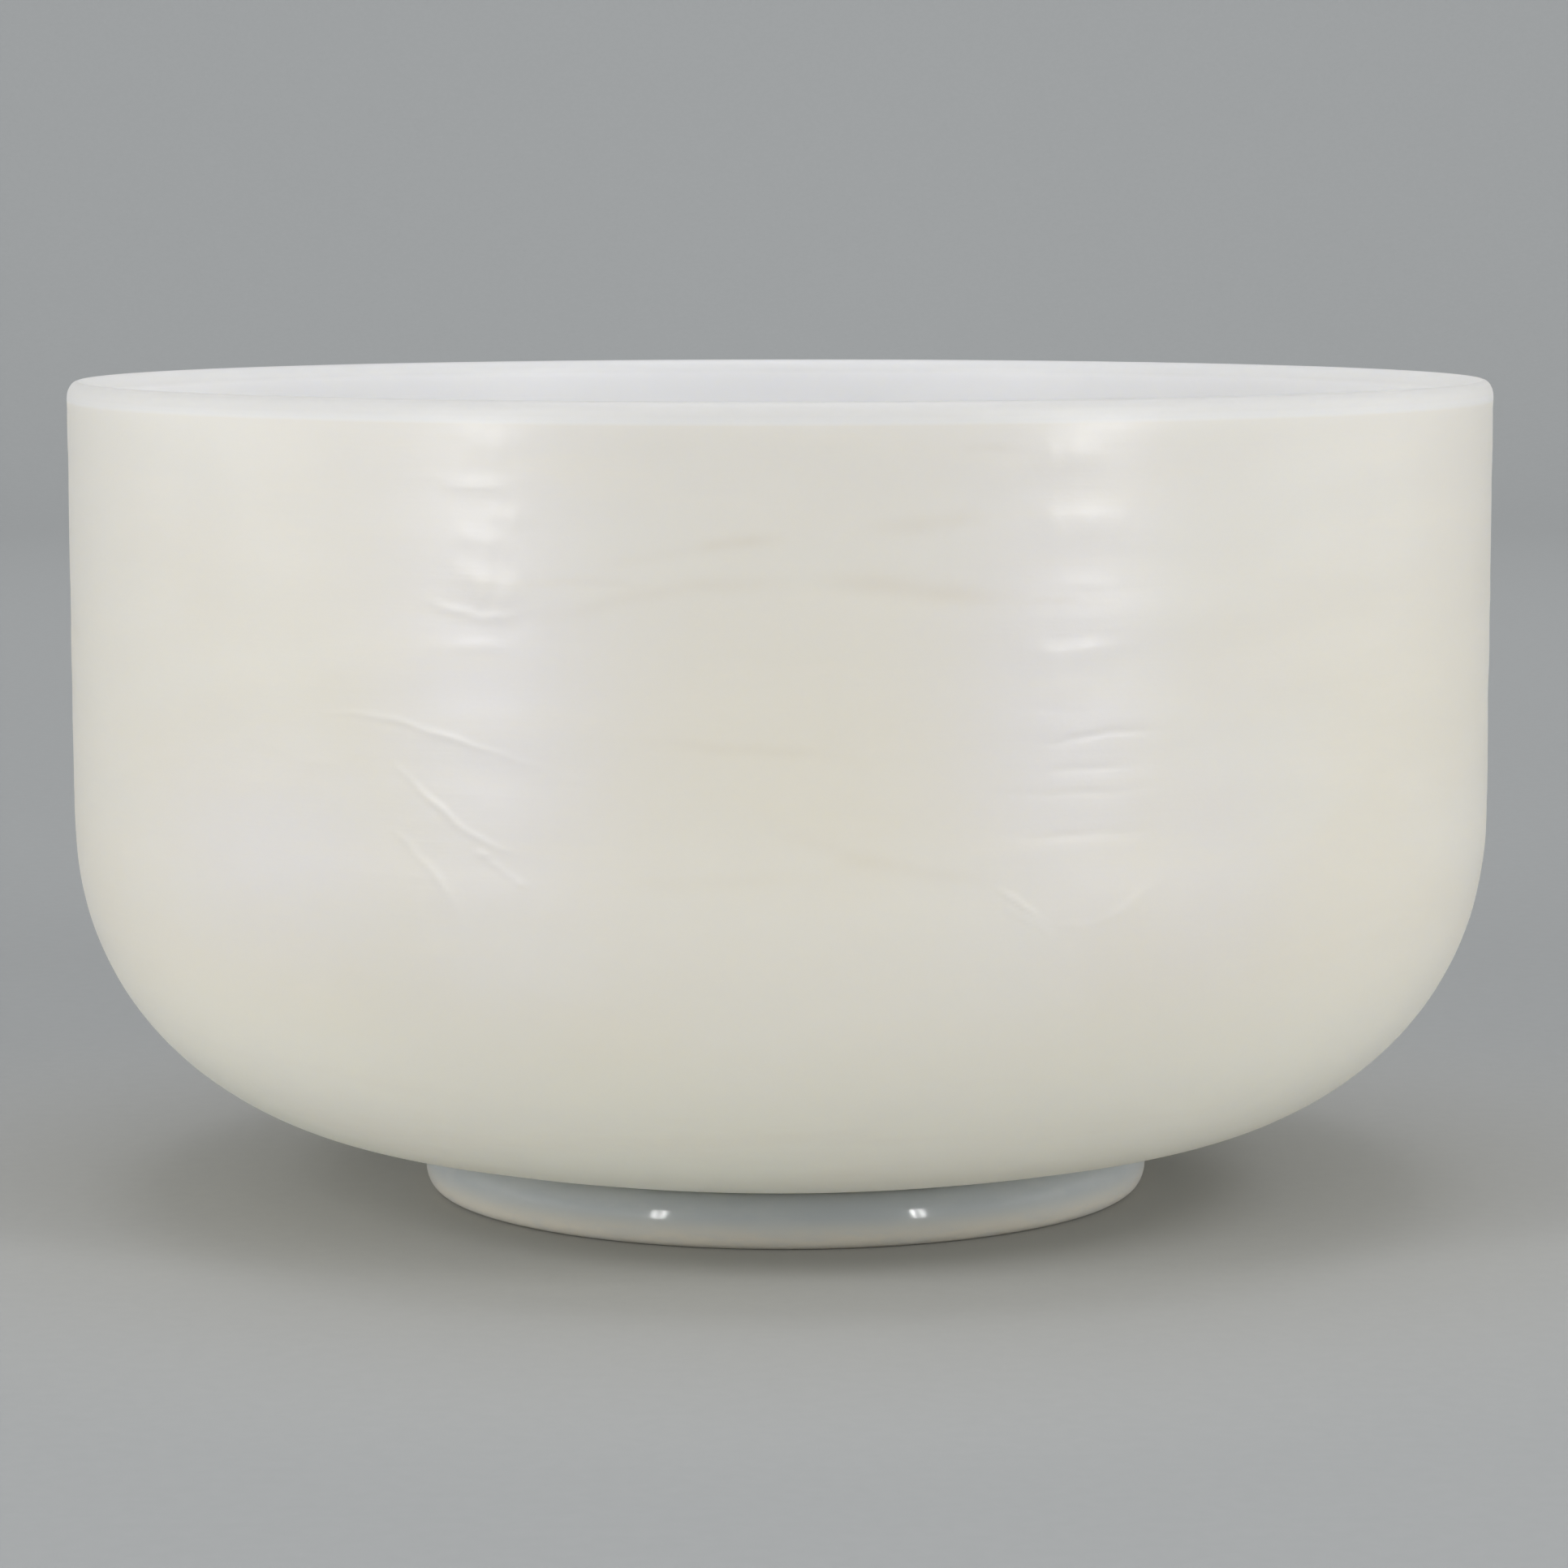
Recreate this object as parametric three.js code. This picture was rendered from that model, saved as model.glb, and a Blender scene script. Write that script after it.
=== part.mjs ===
// A crystal singing bowl: one thin-walled bowl of milky fused quartz, standing on a soft silicone ring.
// Millimetres, +Z up. The origin is the centre of the ring's foot, on the table.

import * as THREE from 'three';

// ---- Driving dimensions ----

// Bowl
const bowlRadius = 152.5; // outside, at the rim
const totalHeight = 175.6; // table to the top of the rim
const wallThickness = 4.8; // the same all over
const lipHeight = 3.5; // the part of the rim that is rounded over
const wallFootRadius = 152.35; // outside, where the straight wall begins
const wallFootHeight = 83.4; // table to where the straight wall begins
const domeRadius = 428.5; // spherical radius of the shallow dome under the bowl
const domeEdgeRadius = 105.2; // distance from the axis at which the dome turns into the corner
const domeClearance = 5; // table to the lowest point of the dome
const cornerPullAtDome = 15.3; // length for which the corner still runs with the dome
const cornerPullAtWall = 43.3; // length for which the corner already runs with the wall

// Ring
const ringRadius = 71.7; // axis to the middle of the ring's section
const ringHalfWidth = 7; // half the section's width at its waist
const ringWaistHeight = 4.8; // table to the widest part of the section
const footHalfWidth = 2.6; // half the width pressed flat on the table
const seatHalfWidth = 3.2; // half the width pressed to the shape of the bowl
const seatGap = 0.3; // bowl to ring

// Facets
const facetsAround = 72;
const domeSteps = 6;
const cornerSteps = 12;
const wallSteps = 1;
const lipSteps = 6;
const ringArcSteps = 4;
const seatSteps = 2;

// ---- Colours ----

const quartzWhite = 0xdedcd4;
const siliconeGrey = 0x9aa19e;

// ---- Shared geometry ----

const quarterTurn = Math.PI / 2;
const domeCentreHeight = domeClearance + domeRadius;

// Height of the bowl's underside at a distance from the axis, within the dome.
function undersideHeight(radius) {
  return domeCentreHeight - Math.sqrt(domeRadius ** 2 - radius ** 2);
}

// Points along a profile curve, each moved a given depth into the wall.
function layer(curve, steps, depth) {
  const points = [];
  for (let i = 0; i <= steps; i++) {
    const point = curve.getPoint(i / steps);
    const tangent = curve.getTangent(i / steps);
    points.push(new THREE.Vector2(point.x - depth * tangent.y, point.y + depth * tangent.x));
  }
  return points;
}

// An arc of an upright ellipse, in the plane of a profile.
function arc(x, y, halfWidth, halfHeight, startAngle, endAngle) {
  return new THREE.EllipseCurve(x, y, halfWidth, halfHeight, startAngle, endAngle, startAngle > endAngle);
}

// A profile holds x as the distance from the axis and y as the height. It is turned about Y, then stood up.
function revolve(name, profile, material) {
  const mesh = new THREE.Mesh(new THREE.LatheGeometry(profile, facetsAround), material);
  mesh.name = name;
  mesh.rotation.x = quarterTurn;
  return mesh;
}

// ---- Bowl ----

// The outside in three runs: the shallow dome, the round corner, and the straight wall.
function outsideCurves() {
  const domeAngle = Math.asin(domeEdgeRadius / domeRadius);
  const domeEdge = new THREE.Vector2(domeEdgeRadius, undersideHeight(domeEdgeRadius));
  const wallFoot = new THREE.Vector2(wallFootRadius, wallFootHeight);
  const wallTop = new THREE.Vector2(bowlRadius, totalHeight - lipHeight);
  const leavesDome = new THREE.Vector2(
    domeEdge.x + cornerPullAtDome * Math.cos(domeAngle),
    domeEdge.y + cornerPullAtDome * Math.sin(domeAngle),
  );
  const meetsWall = new THREE.Vector2(wallFoot.x, wallFoot.y - cornerPullAtWall);
  return {
    dome: arc(0, domeCentreHeight, domeRadius, domeRadius, -quarterTurn, domeAngle - quarterTurn),
    corner: new THREE.CubicBezierCurve(domeEdge, leavesDome, meetsWall, wallFoot),
    wall: new THREE.LineCurve(wallFoot, wallTop),
  };
}

// One side of the wall, from the axis up to the lip, without repeating the points where two runs meet.
function wallLayer(curves, depth) {
  return [
    ...layer(curves.dome, domeSteps, depth),
    ...layer(curves.corner, cornerSteps, depth).slice(1),
    ...layer(curves.wall, wallSteps, depth).slice(1),
  ];
}

function makeBowl() {
  const curves = outsideCurves();
  const lipCentre = bowlRadius - wallThickness / 2;
  const lip = arc(lipCentre, totalHeight - lipHeight, wallThickness / 2, lipHeight, 0, Math.PI);
  const outside = wallLayer(curves, 0);
  const inside = wallLayer(curves, wallThickness).reverse();
  const profile = [...outside, ...lip.getPoints(lipSteps).slice(1, -1), ...inside];
  profile[0].x = 0;
  profile[profile.length - 1].x = 0;
  const quartz = new THREE.MeshStandardMaterial({ color: quartzWhite, roughness: 0.3, metalness: 0 });
  return revolve('quartz_bowl', profile, quartz);
}

// ---- Ring ----

// A round cord pressed flat on the table below and to the shape of the bowl above.
function makeRing() {
  const outerSeat = ringRadius + seatHalfWidth;
  const innerSeat = ringRadius - seatHalfWidth;
  const outerFoot = ringRadius + footHalfWidth;
  const innerFoot = ringRadius - footHalfWidth;
  const upperReach = ringHalfWidth - seatHalfWidth;
  const lowerReach = ringHalfWidth - footHalfWidth;
  const outerRise = undersideHeight(outerSeat) - seatGap - ringWaistHeight;
  const innerRise = undersideHeight(innerSeat) - seatGap - ringWaistHeight;

  const outerLower = arc(outerFoot, ringWaistHeight, lowerReach, ringWaistHeight, -quarterTurn, 0);
  const outerUpper = arc(outerSeat, ringWaistHeight, upperReach, outerRise, 0, quarterTurn);
  const innerUpper = arc(innerSeat, ringWaistHeight, upperReach, innerRise, quarterTurn, Math.PI);
  const innerLower = arc(innerFoot, ringWaistHeight, lowerReach, ringWaistHeight, Math.PI, 3 * quarterTurn);

  const seat = [];
  for (let i = 1; i < seatSteps; i++) {
    const radius = outerSeat - (i / seatSteps) * (outerSeat - innerSeat);
    seat.push(new THREE.Vector2(radius, undersideHeight(radius) - seatGap));
  }

  const profile = [
    ...outerLower.getPoints(ringArcSteps),
    ...outerUpper.getPoints(ringArcSteps).slice(1),
    ...seat,
    ...innerUpper.getPoints(ringArcSteps),
    ...innerLower.getPoints(ringArcSteps).slice(1),
  ];
  profile.push(profile[0].clone());
  const silicone = new THREE.MeshStandardMaterial({ color: siliconeGrey, roughness: 0.45, metalness: 0 });
  return revolve('support_ring', profile, silicone);
}

// ---- Assembly ----

const group = new THREE.Group();
group.add(makeBowl());
group.add(makeRing());

export default group;
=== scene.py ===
"""A milky quartz singing bowl standing on a soft silicone ring, in a plain pale studio."""

import math
import random

import bpy
import numpy as np
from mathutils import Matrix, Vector, noise


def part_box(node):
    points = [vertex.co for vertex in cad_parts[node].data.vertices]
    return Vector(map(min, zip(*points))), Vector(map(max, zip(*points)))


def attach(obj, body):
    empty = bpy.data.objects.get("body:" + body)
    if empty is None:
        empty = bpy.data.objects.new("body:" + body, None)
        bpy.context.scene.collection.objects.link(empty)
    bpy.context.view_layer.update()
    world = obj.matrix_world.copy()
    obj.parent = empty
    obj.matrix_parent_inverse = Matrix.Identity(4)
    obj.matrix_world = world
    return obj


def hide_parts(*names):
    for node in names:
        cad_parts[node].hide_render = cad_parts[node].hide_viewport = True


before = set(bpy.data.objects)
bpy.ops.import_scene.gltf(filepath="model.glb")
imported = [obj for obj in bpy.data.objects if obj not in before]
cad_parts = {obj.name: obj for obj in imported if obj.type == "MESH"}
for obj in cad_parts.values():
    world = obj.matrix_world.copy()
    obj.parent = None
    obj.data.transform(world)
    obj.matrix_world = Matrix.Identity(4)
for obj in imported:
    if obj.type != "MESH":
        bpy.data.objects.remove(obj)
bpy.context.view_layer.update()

MM = 0.001

# ---- Sizes, in metres, worked out from the frame ----

bowl_low, bowl_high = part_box("quartz_bowl")
_, ring_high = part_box("support_ring")

BOWL_RADIUS = bowl_high.x
RIM_HEIGHT = bowl_high.z
UNDERSIDE = bowl_low.z
WALL = 4.8 * MM
LIP_HEIGHT = 3.5 * MM
WALL_FOOT = (BOWL_RADIUS - 0.15 * MM, 83.4 * MM)
DOME_RADIUS = 428.5 * MM
DOME_EDGE = 105.2 * MM
PULL_AT_DOME = 15.3 * MM
PULL_AT_WALL = 43.3 * MM

RING_HALF_WIDTH = 7.0 * MM
RING_RADIUS = ring_high.x - RING_HALF_WIDTH
RING_WAIST = 4.8 * MM
FOOT_HALF_WIDTH = 3.6 * MM
SEAT_HALF_WIDTH = 3.2 * MM
SEAT_GAP = 0.06 * MM
RING_OFFSET = 1.0 * MM

# Heights, in millimetres, over which the wall turns into the whiter, polished band at the rim.
BAND_FADE = (171.1, 172.3)
# How much of the lip's colour its inner half has, the rest being the inside's.
INNER_LIP = 0.45

# Marks on the outside of the bowl. Azimuth is in degrees from the front, positive to the right
# as the bowl is seen from the front. Heights and sizes are in millimetres.
# Each ridge: (azimuth, height) of both ends, bow of its middle upwards, half width above and below
# its crest, and height of relief. A groove has negative relief.
RIDGES = [
    # left highlight
    ((-23.5, 167.4), (-17.5, 166.8), 0.0, 2.6, 3.0, 0.12),
    ((-25, 159.6), (-19, 159.8), 0.0, 1.0, 1.6, 0.10),
    ((-21.4, 154.8), (-17.2, 153.0), 0.0, 1.8, 2.6, 0.13),
    ((-24.6, 151.0), (-19.0, 148.2), 0.0, 2.0, 2.6, 0.13),
    ((-24.2, 144.0), (-17.6, 139.4), -0.4, 2.4, 4.2, 0.30),
    ((-26.6, 138.6), (-17.4, 136.8), -2.4, 0.7, 1.2, 0.14),
    ((-26, 128.8), (-19, 129.4), 0.4, 0.9, 1.4, 0.08),
    # long creases that fall to the right
    ((-35.4, 115.6), (-19.0, 107.9), 2.0, 0.65, 0.65, 0.15),
    ((-21.0, 109.0), (-9.0, 101.2), 0.2, 0.7, 0.7, 0.09),
    ((-29.6, 109.4), (-18.2, 89.6), -3.0, 0.65, 0.65, 0.16),
    ((-29.6, 94.4), (-22.6, 70.0), 3.2, 0.75, 0.75, 0.13),
    ((-44, 112.5), (-30, 109.6), -5.0, 1.2, 1.2, 0.07),
    ((-22.4, 90.4), (-17.6, 83.4), 0.0, 0.6, 0.7, 0.11),
    # drops at the end of a crease
    ((-22.2, 90.6), (-21.0, 89.4), 0.0, 0.8, 0.7, 0.16),
    ((-19.2, 85.2), (-18.0, 83.9), 0.0, 0.8, 0.7, 0.16),
    ((-16.2, 80.6), (-15.2, 79.8), 0.0, 0.8, 0.8, 0.12),
    # far left
    ((-70, 89.0), (-50, 104.6), 2.4, 1.3, 1.3, 0.11),
    ((-68, 85.6), (-60, 88.9), 0.8, 1.2, 1.2, 0.08),
    # right highlight
    ((17.8, 165.8), (24.0, 165.4), 0.0, 2.6, 3.0, 0.18),
    ((17.6, 153.6), (26.0, 152.8), 0.3, 2.2, 4.2, 0.29),
    ((19, 141.6), (24.5, 141.0), 0.0, 1.6, 1.6, 0.07),
    ((17.0, 128.4), (24.8, 128.7), -0.3, 1.8, 3.8, 0.28),
    ((17.6, 122.6), (23.6, 122.0), 0.0, 2.0, 2.6, 0.10),
    ((15, 118.6), (22, 116.6), 0.3, 0.8, 1.0, -0.06),
    ((17.4, 111.0), (29, 113.2), 0.4, 0.7, 0.9, -0.12),
    ((18, 106.2), (26, 106.8), -0.4, 0.8, 0.9, -0.08),
    ((12, 104.4), (30, 103.2), -2.4, 0.7, 0.9, -0.09),
    ((14.6, 94.4), (28, 93.6), -0.5, 0.7, 1.0, -0.10),
    ((15.2, 84.4), (19.6, 76.4), 0.2, 0.5, 0.5, 0.26),
    ((15.9, 80.6), (20.0, 74.4), 0.2, 0.45, 0.45, 0.24),
    ((19.0, 76.6), (28.8, 86.0), -3.8, 0.7, 0.7, 0.16),
    ((9.6, 85.8), (11.6, 83.2), 0.0, 0.8, 0.8, 0.10),
    # far right
    ((50, 88.0), (58, 110.0), -1.0, 1.3, 1.3, 0.08),
    ((50.6, 81.0), (51.4, 72.0), 0.0, 1.0, 1.0, 0.06),
]
# Each stain: ends, bow, half width, strength.
STAINS = [
    ((-7.0, 148.2), (0.6, 150.4), 0.2, 1.3, 0.75),
    ((5.5, 151.8), (15.0, 153.8), 0.3, 1.7, 0.55),
    ((-18.0, 134.2), (3.0, 142.4), 2.2, 1.5, 0.45),
    ((1.0, 142.4), (18.5, 137.8), 0.6, 2.0, 0.75),
    ((-19.0, 142.0), (-6.0, 140.2), 0.6, 1.0, 0.35),
    ((-13.0, 144.0), (-5.0, 148.6), 0.6, 1.2, 0.25),
    ((12.5, 167.3), (18.0, 166.4), 0.0, 0.8, 0.40),
    ((-10.5, 112.0), (6.5, 108.2), 0.9, 1.2, 0.40),
    ((-2.5, 97.0), (17.0, 84.0), -1.0, 1.4, 0.35),
    ((16.5, 138.2), (25.0, 137.0), 0.2, 0.8, 0.45),
    ((-14.0, 84.0), (4.0, 86.0), 1.0, 1.6, 0.25),
]
# Each pale patch: azimuth, height, half width in degrees, half height, strength.
PALE_PATCHES_AND_HIGHLIGHTS = [
    # The first two are painted highlight: a paler, more neutral tint down the two columns where the soft
    # boxes' highlights fall.
    (-21, 120, 9, 55, 1.0),
    (21, 122, 9, 55, 1.0),
    (-40, 88, 14, 20, 0.8),
    (32, 92, 9, 36, 0.6),
    (150, 110, 12, 45, 0.8),
    (215, 95, 16, 30, 0.7),
]

# Marks round the back are drawn at random within these ranges: height of one end, azimuth and height
# from there to the other end, bow, then half widths and relief, or half width and strength.
MARKS_SEED = 11
BACK_FROM, BACK_TO = 62.0, 288.0
BACK_RIDGES = 34
BACK_RIDGE_RANGES = [(72, 166), (6, 22), (-3.5, 3.5), (-2.5, 2.5), (0.7, 2.0), (0.8, 2.0), (0.05, 0.15)]
BACK_STAINS = 12
BACK_STAIN_RANGES = [(90, 165), (8, 24), (-5, 5), (-1.5, 2.0), (1.0, 2.2), (0.2, 0.6)]

# How unsteady a mark is: its middle line wavers by this much for each millimetre of its length, up to
# a most, in millimetres, and its strength varies by this share.
WAVER, WAVER_MOST = 0.009, 0.35
UNEVENNESS = 0.15
# The waves of both, in radians over a mark's length: two of the middle line and one of the strength.
LONG_WAVE, SHORT_WAVE, STRENGTH_WAVE = 9, 25, 17

# Relief of the outside that isn't a single mark, in millimetres: broad swells and fine drawn lines.
SWELL = 0.15
SWELL_LENGTH, SWELL_PITCH, SWELL_SHIFT = 45.0, 10.0, 0.0
DRAW_LINES = 0.016
DRAW_LENGTH, DRAW_PITCH, DRAW_SHIFT = 34.0, 2.1, 40.0
# Heights between which all relief and tint fades in above the corner, and how far below the rim
# band it fades out.
RELIEF_FROM, RELIEF_FULL = 48.0, 68.0
RELIEF_TAPER = 2.0

# ---- Mesh resolution ----

# Columns of the bowl: from this azimuth on, this many degrees apart. Closer where the creases are.
COLUMN_STEPS = [
    (-72, 1.5), (-44, 1.0), (-36, 0.4), (-31, 0.28), (-17, 0.8), (-13, 1.4), (9, 0.8), (15, 0.22),
    (20.5, 0.42), (31, 1.25), (46, 1.0), (62, 2.4), (288, 0),
]
# Rows of the wall: from this height on, in millimetres, this many millimetres apart.
ROW_STEPS = [(83.4, 0.42), (118.0, 0.6), (160.0, 0.75), (170.5, 0.3), (172.0, 0)]
DOME_ROWS = 10
# Rows of the corner: the same, in parts of its curve.
CORNER_STEPS = [(0.0, 0.031), (0.72, 0.0055), (1.0, 0)]
LIP_ROWS = 14
INSIDE_DOME_ROWS = 10
INSIDE_CORNER_ROWS = 24
INSIDE_WALL_ROWS = 8
RING_COLUMNS = 320
RING_ARC_ROWS = 12
RING_SEAT_ROWS = 6


# ---- Outlines ----

def underside_height(radius):
    """Height of the bowl's underside at a distance from the axis, within the dome."""
    return UNDERSIDE + DOME_RADIUS - math.sqrt(DOME_RADIUS ** 2 - radius ** 2)


def dome_points(count):
    """The dome under the bowl, from the axis out, without its last point."""
    angles = math.asin(DOME_EDGE / DOME_RADIUS) * np.arange(count) / count
    centre = UNDERSIDE + DOME_RADIUS
    points = np.stack([DOME_RADIUS * np.sin(angles), centre - DOME_RADIUS * np.cos(angles)], 1)
    normals = np.stack([np.sin(angles), -np.cos(angles)], 1)
    return points, normals


def corner_points(parts):
    """The round corner, at parts of its curve that run from 0 at the dome to 1 at the straight wall."""
    lean = math.asin(DOME_EDGE / DOME_RADIUS)
    start = np.array([DOME_EDGE, underside_height(DOME_EDGE)])
    end = np.array(WALL_FOOT)
    leaves = start + PULL_AT_DOME * np.array([math.cos(lean), math.sin(lean)])
    meets = end - np.array([0.0, PULL_AT_WALL])
    t = parts[:, None]
    points = (
        (1 - t) ** 3 * start + 3 * (1 - t) ** 2 * t * leaves + 3 * (1 - t) * t ** 2 * meets + t ** 3 * end
    )
    along = (1 - t) ** 2 * (leaves - start) + 2 * (1 - t) * t * (meets - leaves) + t ** 2 * (end - meets)
    along /= np.linalg.norm(along, axis=1)[:, None]
    normals = np.stack([along[:, 1], -along[:, 0]], 1)
    return points, normals


def stepped(steps):
    """Values that run through a list of (from here on, this far apart), up to its last entry."""
    runs = []
    for (start, step), (end, _) in zip(steps, steps[1:]):
        count = max(1, round((end - start) / step))
        runs.append(np.linspace(start, end, count, endpoint=False))
    return np.concatenate(runs + [[steps[-1][0]]])


def wall_points(heights):
    """The straight wall, at heights that run from its foot up to the rim band."""
    band = RIM_HEIGHT - LIP_HEIGHT
    t = ((heights - WALL_FOOT[1]) / (band - WALL_FOOT[1]))[:, None]
    points = (1 - t) * np.array(WALL_FOOT) + t * np.array([BOWL_RADIUS, band])
    normals = np.tile([1.0, 0.0], (len(heights), 1))
    return points, normals


def join(*runs):
    """Runs of points and normals, one after the other."""
    return np.concatenate([r[0] for r in runs]), np.concatenate([r[1] for r in runs])


def bowl_outline():
    """The bowl's section as (radius, height) rows, their outward normals, and how many rows are outside."""
    band = RIM_HEIGHT - LIP_HEIGHT
    outside, outside_normals = join(
        dome_points(DOME_ROWS),
        corner_points(stepped(CORNER_STEPS)[:-1]),
        wall_points(stepped(ROW_STEPS) * MM),
    )
    angles = np.linspace(0, math.pi, LIP_ROWS)[1:]
    lip_centre = BOWL_RADIUS - WALL / 2
    lip = np.stack([lip_centre + WALL / 2 * np.cos(angles), band + LIP_HEIGHT * np.sin(angles)], 1)
    inside, inside_normals = join(
        dome_points(INSIDE_DOME_ROWS),
        corner_points(np.arange(INSIDE_CORNER_ROWS) / INSIDE_CORNER_ROWS),
        wall_points(np.linspace(WALL_FOOT[1], band, INSIDE_WALL_ROWS)),
    )
    inside = (inside - WALL * inside_normals)[:-1][::-1]
    rows = np.concatenate([outside, lip, inside])
    normals = np.zeros_like(rows)
    normals[: len(outside)] = outside_normals
    return rows, normals, len(outside)


def ring_outline():
    """The ring's section: flat on the table, round at both sides, and shaped to the bowl on top."""
    def quarter(centre_radius, half_width, half_height, start, end):
        angles = np.linspace(start, end, RING_ARC_ROWS)
        return np.stack(
            [centre_radius + half_width * np.cos(angles), RING_WAIST + half_height * np.sin(angles)], 1
        )

    outer_seat = RING_RADIUS + SEAT_HALF_WIDTH
    inner_seat = RING_RADIUS - SEAT_HALF_WIDTH
    seat_radii = np.linspace(outer_seat, inner_seat, RING_SEAT_ROWS)[1:-1]
    seat = np.array([[r, underside_height(r) - SEAT_GAP] for r in seat_radii])
    lower = RING_HALF_WIDTH - FOOT_HALF_WIDTH
    upper = RING_HALF_WIDTH - SEAT_HALF_WIDTH
    outer_rise = underside_height(outer_seat) - SEAT_GAP - RING_WAIST
    inner_rise = underside_height(inner_seat) - SEAT_GAP - RING_WAIST
    quarter_turn = math.pi / 2
    return np.concatenate([
        quarter(RING_RADIUS + FOOT_HALF_WIDTH, lower, RING_WAIST, -quarter_turn, 0),
        quarter(outer_seat, upper, outer_rise, 0, quarter_turn)[1:],
        seat,
        quarter(inner_seat, upper, inner_rise, quarter_turn, math.pi),
        quarter(RING_RADIUS - FOOT_HALF_WIDTH, lower, RING_WAIST, math.pi, 3 * quarter_turn)[1:],
    ])


# ---- Relief and stains ----

def along_mark(azimuth, height, start, end, bow, above, below):
    """How strongly each point lies on a bowed mark on the wall: 1 on its middle line, 0 away from it."""
    arc = math.radians(1) * BOWL_RADIUS / MM
    across = azimuth * arc
    first = np.array([start[0] * arc, start[1]])
    chord = np.array([end[0] * arc, end[1]]) - first
    length = float(np.hypot(*chord))
    unit = chord / length
    dx, dz = across - first[0], height - first[1]
    u = (dx * unit[0] + dz * unit[1]) / length
    sideways = -dx * unit[1] + dz * unit[0]
    inside = np.clip(u, 0, 1)
    phase = start[0] + start[1]
    waver = min(WAVER_MOST, WAVER * length)
    middle = bow * 4 * inside * (1 - inside)
    middle = middle + waver * np.sin(LONG_WAVE * u + phase)
    middle = middle + waver / 2 * np.sin(SHORT_WAVE * u + 2 * phase)
    offset = sideways - middle
    strength = 1 - UNEVENNESS + UNEVENNESS * np.sin(STRENGTH_WAVE * u + 3 * phase)
    ends = np.clip(1 - (2 * u - 1) ** 2, 0, 1)
    return strength * ends * np.exp(-(offset / np.where(offset > 0, above, below)) ** 2)


def patch(azimuth, height, place, level, half_turn, half_height, strength):
    """A soft oval patch on the wall."""
    return strength * np.exp(-((azimuth - place) / half_turn) ** 2 - ((height - level) / half_height) ** 2)


def back_marks(dice, count, ranges):
    """Marks round the back of the bowl, like those at the front."""
    marks = []
    for _ in range(count):
        azimuth = dice.uniform(BACK_FROM, BACK_TO)
        height, span, rise, *shape = [dice.uniform(low, high) for low, high in ranges]
        marks.append(((azimuth, height), (azimuth + span, height + rise), *shape))
    return marks


def cloud(azimuth, height, length, pitch, shift):
    """Smooth noise on the wall, stretched to length sideways and pitch upwards, in millimetres."""
    turn = BOWL_RADIUS / MM / length
    values = np.empty(len(azimuth))
    for i, (a, z) in enumerate(zip(np.radians(azimuth), height)):
        values[i] = noise.noise(Vector((turn * math.cos(a) + shift, turn * math.sin(a), z / pitch)))
    return values


def seen_from_front(azimuth):
    """Azimuth in degrees from -72 to 288, so that no mark at the front or back crosses the join."""
    return np.where(azimuth > BACK_TO, azimuth - 360, azimuth)


def wall_marks(place, level):
    """Relief in millimetres, and strengths of stain and of pale patch, which holds painted highlights too,
    at azimuths and heights.
    """
    dice = random.Random(MARKS_SEED)
    ridges = RIDGES + back_marks(dice, BACK_RIDGES, BACK_RIDGE_RANGES)
    stains = STAINS + back_marks(dice, BACK_STAINS, BACK_STAIN_RANGES)
    relief = SWELL * cloud(place, level, SWELL_LENGTH, SWELL_PITCH, SWELL_SHIFT)
    relief += DRAW_LINES * cloud(place, level, DRAW_LENGTH, DRAW_PITCH, DRAW_SHIFT)
    for start, end, bow, above, below, rise in ridges:
        relief += rise * along_mark(place, level, start, end, bow, above, below)
    stain = np.zeros(len(place))
    for start, end, bow, half_width, strength in stains:
        mark = along_mark(place, level, start, end, bow, half_width, half_width)
        stain = np.maximum(stain, strength * mark)
    pale = np.zeros(len(place))
    for oval in PALE_PATCHES_AND_HIGHLIGHTS:
        pale = np.maximum(pale, patch(place, level, *oval))
    return relief, stain, pale


def wall_fade(level):
    """How much of the relief and tint shows at a height: none on the corner or at the rim band."""
    band_level = (RIM_HEIGHT - LIP_HEIGHT) / MM
    rising = np.clip((level - RELIEF_FROM) / (RELIEF_FULL - RELIEF_FROM), 0, 1)
    return rising * rising * (3 - 2 * rising) * np.clip((band_level - level) / RELIEF_TAPER, 0, 1)


def rim_finish(outside, radius, height):
    """How much of the lip's colour and of the polished finish each point has."""
    band = np.clip((height / MM - BAND_FADE[0]) / (BAND_FADE[1] - BAND_FADE[0]), 0, 1)
    inner_half = radius < BOWL_RADIUS - WALL / 2
    over_top = (height > RIM_HEIGHT - LIP_HEIGHT) * np.where(inner_half, INNER_LIP, 1.0)
    lip = np.where(outside, band, over_top)
    return lip, np.where(outside, lip, 1.0)


# ---- Meshes ----

def new_piece(name, points, faces, material):
    """A smooth-shaded mesh object."""
    mesh = bpy.data.meshes.new(name)
    mesh.from_pydata(points.tolist(), [], faces)
    mesh.validate()
    mesh.polygons.foreach_set("use_smooth", [True] * len(mesh.polygons))
    mesh.materials.append(material)
    mesh.update()
    piece = bpy.data.objects.new(name, mesh)
    bpy.context.scene.collection.objects.link(piece)
    return piece


def store(mesh, name, values):
    """One number per vertex, for a material to read."""
    attribute = mesh.attributes.new(name, "FLOAT", "POINT")
    attribute.data.foreach_set("value", np.asarray(values, np.float32))


def strip_faces(rows, columns, first, close=False):
    """Quads between neighbouring rows of vertices that go once round. Rows run up the outside."""
    faces = []
    last = rows if close else rows - 1
    for i in range(last):
        here, there = first + i * columns, first + (i + 1) % rows * columns
        for j in range(columns):
            k = (j + 1) % columns
            faces.append((here + j, here + k, there + k, there + j))
    return faces


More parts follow.
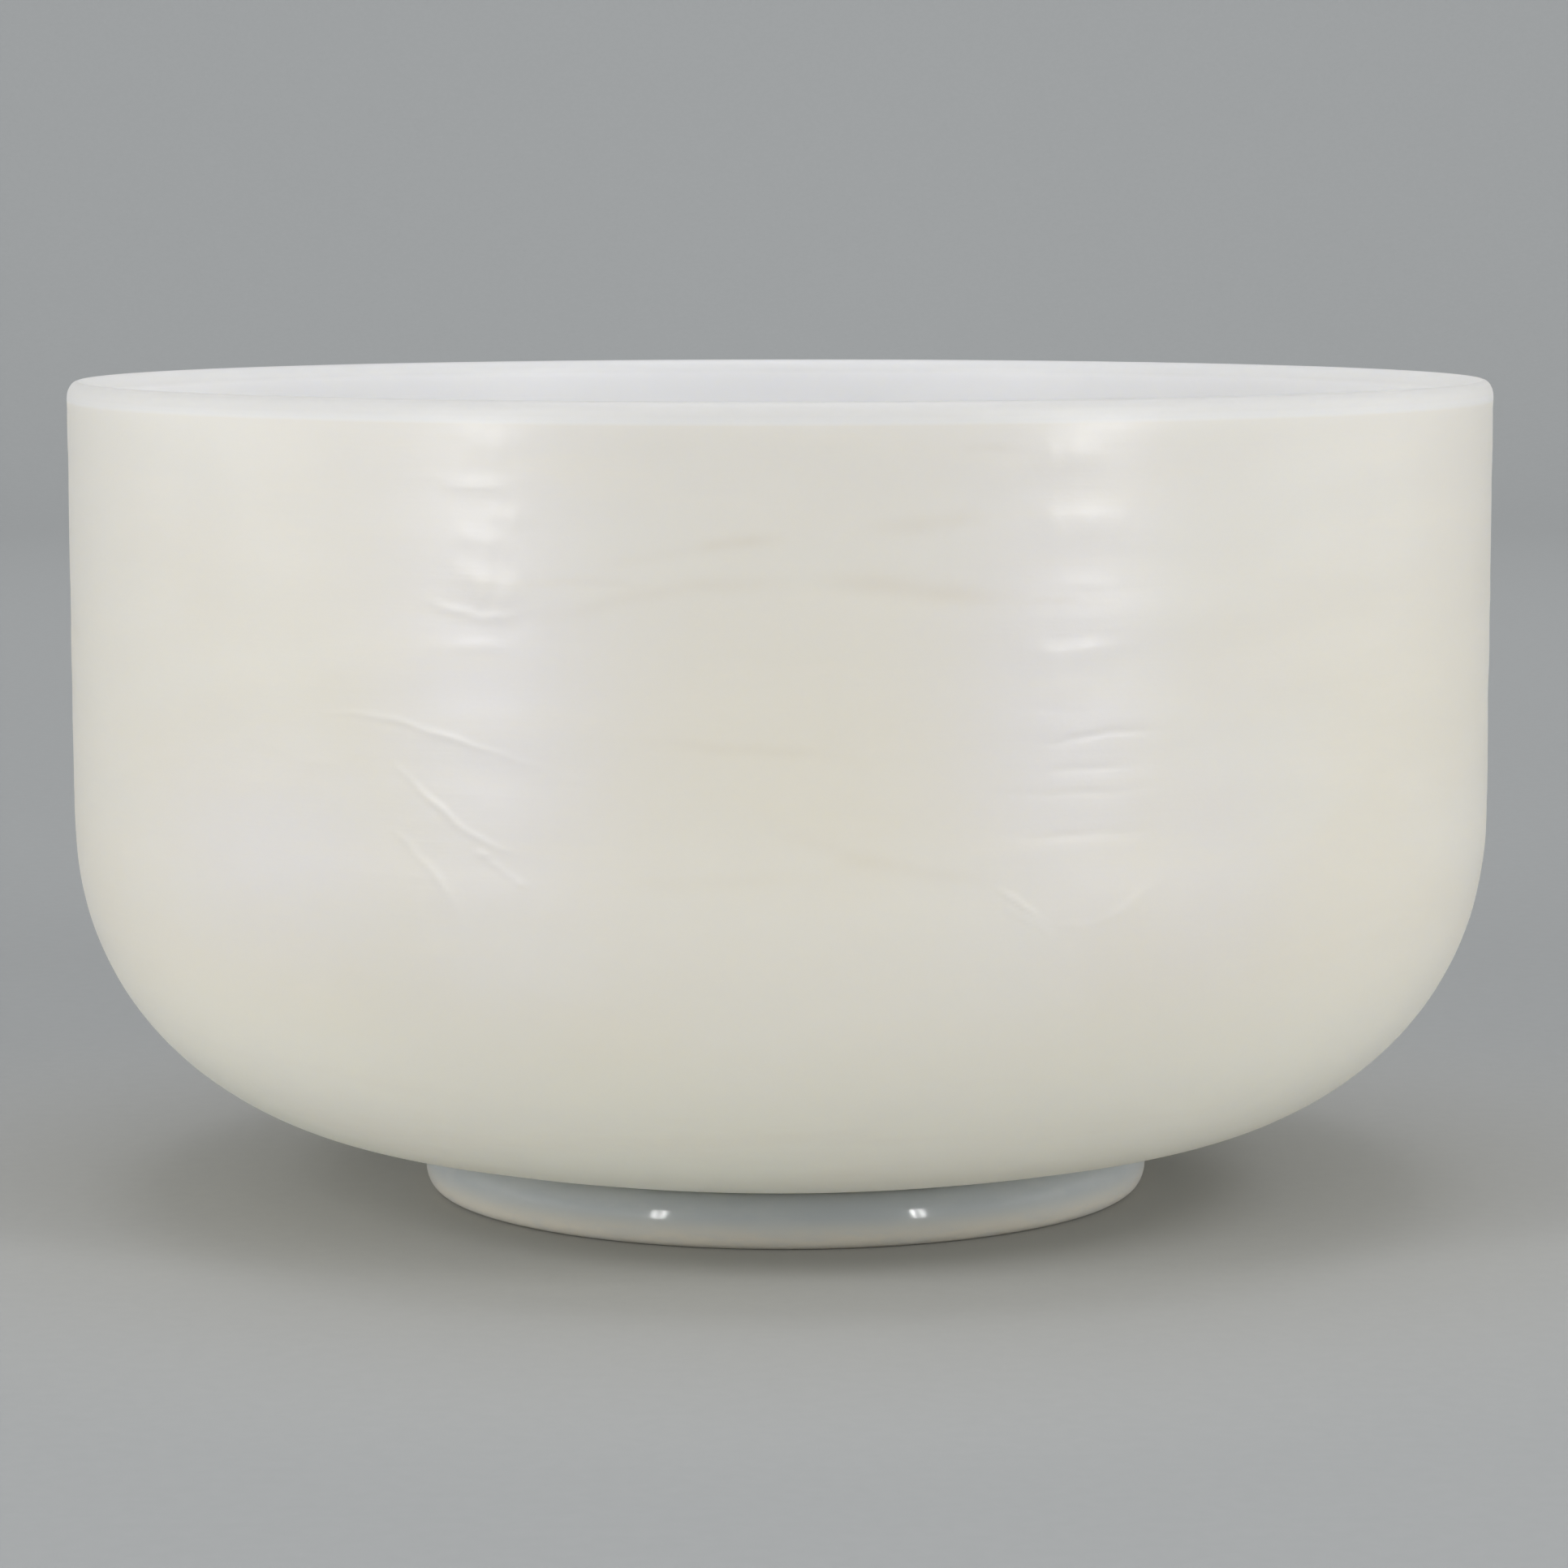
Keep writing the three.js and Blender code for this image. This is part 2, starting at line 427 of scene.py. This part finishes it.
def bowl_faces(rows, columns):
    """Faces between two poles, vertices 0 outside and 1 inside, and the rows that follow them."""
    faces = strip_faces(rows, columns, 2)
    top = 2 + (rows - 1) * columns
    for j in range(columns):
        k = (j + 1) % columns
        faces.append((0, 2 + k, 2 + j))
        faces.append((1, top + j, top + k))
    return faces


def make_bowl(material):
    """The bowl: its section turned about the axis, with the outside's relief in the mesh."""
    section, section_normals, outside_rows = bowl_outline()
    azimuths = stepped(COLUMN_STEPS)[:-1]
    columns = len(azimuths)
    rows, normals = section[1:-1], section_normals[1:-1]
    azimuth = np.tile(azimuths, len(rows))
    radius, height = np.repeat(rows[:, 0], columns), np.repeat(rows[:, 1], columns)
    lean_out, lean_up = np.repeat(normals[:, 0], columns), np.repeat(normals[:, 1], columns)
    outside = np.zeros(len(azimuth), bool)
    outside[: (outside_rows - 1) * columns] = True

    marked = outside & (height / MM > RELIEF_FROM)
    level = height[marked] / MM
    fade = wall_fade(level)
    relief, stain, pale = (np.zeros(len(azimuth)) for _ in range(3))
    for whole, part in zip((relief, stain, pale), wall_marks(seen_from_front(azimuth[marked]), level)):
        whole[marked] = part * fade
    radius = radius + lean_out * relief * MM
    height = height + lean_up * relief * MM

    angle = np.radians(azimuth)
    points = np.stack([radius * np.sin(angle), -radius * np.cos(angle), height], 1)
    poles = np.array([[0, 0, section[0, 1]], [0, 0, section[-1, 1]]])
    points = np.concatenate([poles, points])
    piece = new_piece("quartz_bowl_body", points, bowl_faces(len(rows), columns), material)

    lip, polish = rim_finish(outside, radius, height)
    store(piece.data, "stain", np.concatenate([[0, 0], stain]))
    # The pale patches stored here include the painted highlights.
    store(piece.data, "pale", np.concatenate([[0, 0], pale]))
    store(piece.data, "polish", np.concatenate([[0, 1], polish]))
    store(piece.data, "lip", np.concatenate([[0, 0], lip]))
    return piece


def make_ring(material):
    """The silicone ring, turned about its own axis, which is a little off the bowl's."""
    rows = ring_outline()
    azimuth = np.tile(np.linspace(0, 2 * math.pi, RING_COLUMNS, endpoint=False), len(rows))
    radius = np.repeat(rows[:, 0], RING_COLUMNS)
    height = np.repeat(rows[:, 1], RING_COLUMNS)
    seat_rise = RING_OFFSET * np.sin(azimuth) * radius / DOME_RADIUS
    height = height + seat_rise * height / underside_height(RING_RADIUS)
    points = np.stack([radius * np.sin(azimuth) + RING_OFFSET, -radius * np.cos(azimuth), height], 1)
    faces = strip_faces(len(rows), RING_COLUMNS, 0, close=True)
    return new_piece("silicone_ring", points, faces, material)


# ---- Materials ----

def node_material(name):
    """A new material, its Principled node, and helpers that add a linked node and feed the shader.

    An added node's inputs are named as in Blender, with _ for a space, or by number after a _."""
    material = bpy.data.materials.new(name)
    material.use_nodes = True
    tree = material.node_tree
    shader = tree.nodes["Principled BSDF"]

    def add(kind, settings=None, **inputs):
        node = tree.nodes.new(kind)
        for key, value in (settings or {}).items():
            setattr(node, key, value)
        for key, value in inputs.items():
            number = key[1:]
            socket = node.inputs[int(number)] if number.isdigit() else node.inputs[key.replace("_", " ")]
            if isinstance(value, bpy.types.NodeSocket):
                tree.links.new(value, socket)
            else:
                socket.default_value = value
        return node

    def feed(socket, value):
        tree.links.new(value, shader.inputs[socket])

    return material, shader, add, feed


def mix_colour(add, factor, first, second):
    """A mix of two colours."""
    return add("ShaderNodeMix", {"data_type": "RGBA"}, _0=factor, _6=first, _7=second).outputs[2]


def map_range(add, value, low, high, to_low=0.0, to_high=1.0):
    """A smooth step from one value to another, while another value goes from low to high."""
    node = add(
        "ShaderNodeMapRange", {"interpolation_type": "SMOOTHSTEP"},
        Value=value, From_Min=low, From_Max=high, To_Min=to_low, To_Max=to_high,
    )
    return node.outputs[0]


def math_node(add, operation, *values):
    """The result of one operation on numbers."""
    inputs = {f"_{i}": value for i, value in enumerate(values)}
    return add("ShaderNodeMath", {"operation": operation}, **inputs).outputs[0]


def stored_value(add, name):
    """A number that the mesh holds for each vertex."""
    return add("ShaderNodeAttribute", {"attribute_name": name}).outputs["Fac"]


def point_height(add):
    """How high a point of the piece is, in metres."""
    where = add("ShaderNodeTexCoord").outputs["Object"]
    return add("ShaderNodeSeparateXYZ", Vector=where).outputs[2]


def stretched_noise(add, sideways, upwards, detail, roughness):
    """Noise stretched along the wall: sideways and upwards are the sizes of its features, in metres."""
    where = add("ShaderNodeTexCoord").outputs["Object"]
    scale = (1 / sideways, 1 / sideways, 1 / upwards)
    mapping = add("ShaderNodeMapping", Vector=where, Scale=scale)
    texture = add(
        "ShaderNodeTexNoise", Vector=mapping.outputs[0], Scale=1.0, Detail=detail, Roughness=roughness
    )
    return texture.outputs[0]


def quartz_body(add, height, veils):
    """The milky body's colour: warm white, with painted light that makes it much lighter underneath,
    clouds, veils, pale patches of which two are painted highlight, and stains.
    """
    upper = (0.791, 0.746, 0.679, 1)
    middle = (0.806, 0.746, 0.644, 1)
    # lower is painted light: much lighter and yellower underneath, for light that comes through the milky
    # wall and off the paper.
    lower = (0.985, 0.940, 0.770, 1)
    pale_and_highlight_tint = (0.800, 0.760, 0.736, 1)
    greenish = (0.812, 0.785, 0.716, 1)
    rosy = (0.843, 0.772, 0.665, 1)
    brown = (0.560, 0.480, 0.400, 1)
    stain_strength = 0.28
    lit_underside_until, middle_from = 0.012, 0.070
    middle_until, upper_from = 0.100, 0.172

    clouds = stretched_noise(add, sideways=0.090, upwards=0.045, detail=3.0, roughness=0.55)
    # Painted light: the colour turns much lighter from here down to the underside.
    body = mix_colour(add, map_range(add, height, lit_underside_until, middle_from), lower, middle)
    body = mix_colour(add, map_range(add, height, middle_until, upper_from), body, upper)
    # Pale patches, two of them painted highlight down the highlight columns.
    body = mix_colour(add, stored_value(add, "pale"), body, pale_and_highlight_tint)
    body = mix_colour(add, map_range(add, clouds, 0.42, 0.62, to_high=0.35), body, greenish)
    body = mix_colour(add, map_range(add, veils, 0.50, 0.72, to_high=0.30), body, rosy)
    stained = math_node(add, "MULTIPLY", stored_value(add, "stain"), stain_strength)
    return mix_colour(add, stained, body, brown)


def quartz_material():
    """Milky fused quartz: satin outside with drawn lines, and a clear white lip and inside."""
    material, shader, add, feed = node_material("milky_quartz")
    height = point_height(add)
    polish = stored_value(add, "polish")
    veils = stretched_noise(add, sideways=0.050, upwards=0.008, detail=4.0, roughness=0.6)

    clear_white = (0.915, 0.900, 0.885, 1)
    edge_white = (0.735, 0.722, 0.700, 1)
    # The lip turns darker towards its crest: a painted shade along the crest line.
    shaded_crest_white = (0.665, 0.652, 0.636, 1)
    edge_until, crest_from = 0.1715, 0.1752
    lip_white = mix_colour(add, map_range(add, height, edge_until, crest_from), edge_white, shaded_crest_white)
    body = mix_colour(add, polish, quartz_body(add, height, veils), clear_white)
    feed("Base Color", mix_colour(add, stored_value(add, "lip"), body, lip_white))

    polished = 0.42
    satin = map_range(add, veils, 0.3, 0.7, to_low=0.285, to_high=0.325)
    rough = add("ShaderNodeMix", {"data_type": "FLOAT"}, _0=polish, _2=satin, _3=polished)
    feed("Roughness", rough.outputs[0])

    grain = stretched_noise(add, sideways=0.0012, upwards=0.0008, detail=2.0, roughness=0.5)
    drawn = stretched_noise(add, sideways=0.020, upwards=0.0014, detail=2.0, roughness=0.5)
    drawn_to_grain = 2.0
    both = math_node(add, "MULTIPLY_ADD", drawn, drawn_to_grain, grain)
    matt = math_node(add, "SUBTRACT", 1.0, polish)
    bump = add("ShaderNodeBump", Strength=matt, Distance=0.00001, Height=both)
    feed("Normal", bump.outputs[0])

    shader.inputs["IOR"].default_value = 1.458
    shader.inputs["Subsurface Weight"].default_value = 1.0
    shader.inputs["Subsurface Radius"].default_value = (1.0, 0.95, 0.8)
    shader.inputs["Subsurface Scale"].default_value = 0.018
    return material


def silicone_material():
    """Soft translucent silicone: painted light makes it lighter and warmer near the table, and painted
    shade makes it cool grey higher up under the bowl.
    """
    material, shader, add, feed = node_material("clear_silicone")
    height = point_height(add)
    mottle = stretched_noise(add, sideways=0.012, upwards=0.004, detail=3.0, roughness=0.6)

    # low is painted light, lighter and warmer near the table; high is painted shade, cool grey higher up
    # under the bowl.
    low = (0.79, 0.745, 0.64, 1)
    high = (0.575, 0.610, 0.620, 1)
    pale = (0.645, 0.665, 0.655, 1)
    lit_foot_until, shaded_top_from = 0.0015, 0.0075
    body = mix_colour(add, map_range(add, height, lit_foot_until, shaded_top_from), low, high)
    feed("Base Color", mix_colour(add, map_range(add, mottle, 0.45, 0.65, to_high=0.35), body, pale))
    feed("Roughness", map_range(add, mottle, 0.3, 0.7, to_low=0.30, to_high=0.38))
    fine = stretched_noise(add, sideways=0.0009, upwards=0.0009, detail=2.0, roughness=0.5)
    bump = add("ShaderNodeBump", Strength=0.5, Distance=0.000002, Height=fine)
    feed("Normal", bump.outputs[0])

    shader.inputs["IOR"].default_value = 1.41
    shader.inputs["Specular IOR Level"].default_value = 0.05
    shader.inputs["Coat Weight"].default_value = 0.30
    shader.inputs["Coat Roughness"].default_value = 0.085
    shader.inputs["Subsurface Weight"].default_value = 1.0
    shader.inputs["Subsurface Radius"].default_value = (1.0, 1.0, 1.0)
    shader.inputs["Subsurface Scale"].default_value = 0.004
    return material


def paper_material():
    """The studio's pale grey paper: painted light round the bowl, a painted shadow under it, and painted
    shade and light by the lamps in front of it.
    """
    material, shader, add, feed = node_material("studio_paper")
    where = add("ShaderNodeTexCoord").outputs["Object"]
    distance = add("ShaderNodeVectorMath", {"operation": "LENGTH"}, _0=where).outputs["Value"]
    tooth = stretched_noise(add, sideways=0.004, upwards=0.004, detail=2.0, roughness=0.5)
    grey = map_range(add, tooth, 0.2, 0.8)
    # near is painted light: lighter and warmer paper round the bowl.
    near = mix_colour(add, grey, (0.505, 0.509, 0.500, 1), (0.515, 0.519, 0.510, 1))
    far = mix_colour(add, grey, (0.412, 0.425, 0.431, 1), (0.422, 0.435, 0.441, 1))
    lit_near_until, far_from = 0.08, 0.28
    paper = mix_colour(add, map_range(add, distance, lit_near_until, far_from), near, far)

    # under is a painted shadow under the bowl, centred a little right of and in front of its axis.
    under = (0.400, 0.400, 0.383, 1)
    painted_shadow_centre = (0.012, -0.010, 0.0)
    painted_shadow_until, painted_shadow_to = 0.072, 0.100
    away = add("ShaderNodeVectorMath", {"operation": "DISTANCE"}, _0=where, _1=painted_shadow_centre)
    paper = mix_colour(add, map_range(add, away.outputs["Value"], painted_shadow_until, painted_shadow_to), under, paper)
    feed("Base Color", by_lamps(add, where, distance, paper))
    shader.inputs["Roughness"].default_value = 0.9
    shader.inputs["Specular IOR Level"].default_value = 0.1
    return material


def by_lamps(add, where, distance, paper):
    """The paper's colour, with painted shade in front of the lamps, where they light it most, and painted
    light behind them.
    """
    # darker is painted shade in front of the lamps, where they light the paper most; lighter is painted
    # light behind them, where their light ends.
    darker = (0.115, 0.118, 0.120, 1)
    lighter = (0.600, 0.615, 0.622, 1)
    wholly_ahead, not_ahead = -0.60, -0.20
    lit_from, lit_fully = 0.85, 1.32
    lit_until, behind_from = 1.45, 1.60
    depth = add("ShaderNodeSeparateXYZ", Vector=where).outputs[1]
    ahead = map_range(add, depth, wholly_ahead, not_ahead, to_low=1.0, to_high=0.0)
    lit = math_node(add, "MULTIPLY", ahead, map_range(add, distance, lit_from, lit_fully))
    lamp_paper = mix_colour(add, map_range(add, distance, lit_until, behind_from), darker, lighter)
    return mix_colour(add, lit, paper, lamp_paper)


# ---- Studio ----

# The paper: radius of its flat floor and of the curve behind it, and height of its wall, in metres.
SWEEP_FLAT = 2.4
SWEEP_CURVE = 1.2
SWEEP_TOP = 3.4
SWEEP_COLUMNS = 96
SWEEP_FLOOR_ROWS = 4
SWEEP_CURVE_ROWS = 16

# Every lamp is a rectangle. Its shape is the distance of its middle from the axis, the height of its
# middle, its width and length, and the point it is turned to, all in metres. Azimuths are in degrees
# from the front, positive to the right, and powers in watts.
SOFTBOX = (1.35, 0.58, (0.28, 1.0), (0.0, 0.0, 0.12))
SOFTBOX_SIDES = [("left", -44.5, 6.6), ("right", 47.0, 7.45)]
DULL_BOX_EXTRA = 0.3
HOT_SPOT = (1.33, 0.30, (0.11, 0.36), (0.0, 0.0, 0.12))
HOT_SPOT_POWER = 0.6
TUBE = (1.30, 0.22, (0.016, 0.40), (0.0, 0.0, 0.01))
TUBE_POWER = 2.7
TUBE_SIDES = [("left", -38.9), ("right", 40.6)]
TUBE_STEPS = [("a", -1.4), ("b", 1.4)]
# Each: name, azimuth, shape, power.
FILL_LAMPS = [
    ("softbox_above", 0, (0.0, 1.5, (1.0, 1.0), (0.0, 0.0, 0.0)), 6.0),
    ("side_left", -95, (2.0, 0.65, (1.6, 1.2), (0.0, 0.0, 0.1)), 6.0),
    ("side_right", 95, (2.0, 0.65, (1.6, 1.2), (0.0, 0.0, 0.1)), 6.9),
    ("strip_left", -65, (1.2, 0.12, (1.2, 0.2), (0.0, 0.0, 0.06)), 1.0),
    ("strip_right", 65, (1.2, 0.12, (1.2, 0.2), (0.0, 0.0, 0.06)), 0.6),
    ("backdrop_wash", 180, (1.2, 2.4, (2.4, 0.8), (0.0, 3.6, 1.0)), 44.0),
]
AIR_STRENGTH = 0.298


def make_sweep(material):
    """A round sweep of paper: a flat floor that curves up into a wall on every side."""
    angles = np.linspace(0, math.pi / 2, SWEEP_CURVE_ROWS)
    rows = [(SWEEP_FLAT * i / SWEEP_FLOOR_ROWS, 0.0) for i in range(1, SWEEP_FLOOR_ROWS)]
    rows += [
        (SWEEP_FLAT + SWEEP_CURVE * math.sin(a), SWEEP_CURVE * (1 - math.cos(a))) for a in angles
    ]
    rows.append((SWEEP_FLAT + SWEEP_CURVE, SWEEP_TOP))
    turn = np.linspace(0, 2 * math.pi, SWEEP_COLUMNS, endpoint=False)
    points = [(0.0, 0.0, 0.0)]
    for radius, height in rows:
        points += [(radius * math.cos(a), radius * math.sin(a), height) for a in turn]
    faces = [(0, 1 + j, 1 + (j + 1) % SWEEP_COLUMNS) for j in range(SWEEP_COLUMNS)]
    for i in range(len(rows) - 1):
        here, there = 1 + i * SWEEP_COLUMNS, 1 + (i + 1) * SWEEP_COLUMNS
        for j in range(SWEEP_COLUMNS):
            k = (j + 1) % SWEEP_COLUMNS
            faces.append((here + j, there + j, there + k, here + k))
    sweep = new_piece("studio_sweep", np.array(points), faces, material)
    return sweep


def area_light(name, azimuth, shape, power):
    """A rectangular lamp at an azimuth round the bowl."""
    distance, height, size, aim = shape
    data = bpy.data.lights.new(name, "AREA")
    data.shape = "RECTANGLE"
    data.size, data.size_y = size
    data.energy = power
    lamp = bpy.data.objects.new(name, data)
    a = math.radians(azimuth)
    lamp.location = (distance * math.sin(a), -distance * math.cos(a), height)
    towards = Vector(aim) - lamp.location
    lamp.rotation_euler = towards.to_track_quat("-Z", "Y").to_euler()
    lamp.visible_camera = False
    bpy.context.scene.collection.objects.link(lamp)
    return lamp


def lit_group(name, objects):
    """A collection outside the scene, for a lamp that lights only these objects."""
    group = bpy.data.collections.new(name)
    for lit in objects:
        group.objects.link(lit)
    return group


def light_front(glinting, others):
    """An upright soft box at each side in front, with a hot spot and a pair of tubes low in it.

    The glinting piece mirrors the tubes alone. The dull boxes light it as the soft boxes light the rest."""
    on_glinting = lit_group("lit_by_tubes", [glinting])
    on_others = lit_group("lit_by_boxes", others)
    for side, azimuth, power in SOFTBOX_SIDES:
        box = area_light(f"softbox_{side}", azimuth, SOFTBOX, power)
        box.light_linking.receiver_collection = on_others
        spot = area_light(f"hot_spot_{side}", azimuth, HOT_SPOT, HOT_SPOT_POWER)
        spot.light_linking.receiver_collection = on_others
        dull = area_light(f"dull_box_{side}", azimuth, SOFTBOX, power + DULL_BOX_EXTRA)
        dull.light_linking.receiver_collection = on_glinting
        dull.visible_glossy = False
    for side, azimuth in TUBE_SIDES:
        for name, step in TUBE_STEPS:
            tube = area_light(f"tube_{side}_{name}", azimuth + step, TUBE, TUBE_POWER)
            tube.light_linking.receiver_collection = on_glinting
            tube.visible_diffuse = False


def light_studio():
    """Soft fill from above and the sides, a wash on the paper behind, and pale air."""
    for name, azimuth, shape, power in FILL_LAMPS:
        area_light(name, azimuth, shape, power)

    world = bpy.data.worlds.new("studio_air")
    world.use_nodes = True
    background = world.node_tree.nodes["Background"]
    background.inputs["Color"].default_value = (1.0, 1.0, 1.0, 1)
    background.inputs["Strength"].default_value = AIR_STRENGTH
    bpy.context.scene.world = world


# Distance and height are in bowl radii, angles in radians, and the lens and sensor in millimetres.
CAMERA_DISTANCE = 6.93
CAMERA_HEIGHT = 1.358
CAMERA_PITCH = 0.1129
CAMERA_ROLL = -0.0010
CAMERA_YAW = -0.0007
CAMERA_LENS = 112.04
CAMERA_SENSOR = 36.0


def add_camera():
    """A long lens in front of the bowl, a little above its rim."""
    data = bpy.data.cameras.new("camera")
    data.lens = CAMERA_LENS
    data.sensor_width = CAMERA_SENSOR
    camera = bpy.data.objects.new("camera", data)
    camera.location = (0, -CAMERA_DISTANCE * BOWL_RADIUS, CAMERA_HEIGHT * BOWL_RADIUS)
    camera.rotation_mode = "XYZ"
    camera.rotation_euler = (math.pi / 2 - CAMERA_PITCH, 0, CAMERA_YAW)
    bpy.context.scene.collection.objects.link(camera)
    bpy.context.view_layer.update()
    camera.rotation_euler.rotate_axis("Z", CAMERA_ROLL)
    bpy.context.scene.camera = camera


# ---- Assembly ----

bowl = make_bowl(quartz_material())
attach(bowl, "bowl")
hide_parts("quartz_bowl")

ring = make_ring(silicone_material())
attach(ring, "ring")
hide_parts("support_ring")

sweep = make_sweep(paper_material())
light_front(ring, [bowl, sweep])
light_studio()
add_camera()
bpy.context.scene.view_settings.view_transform = "Standard"
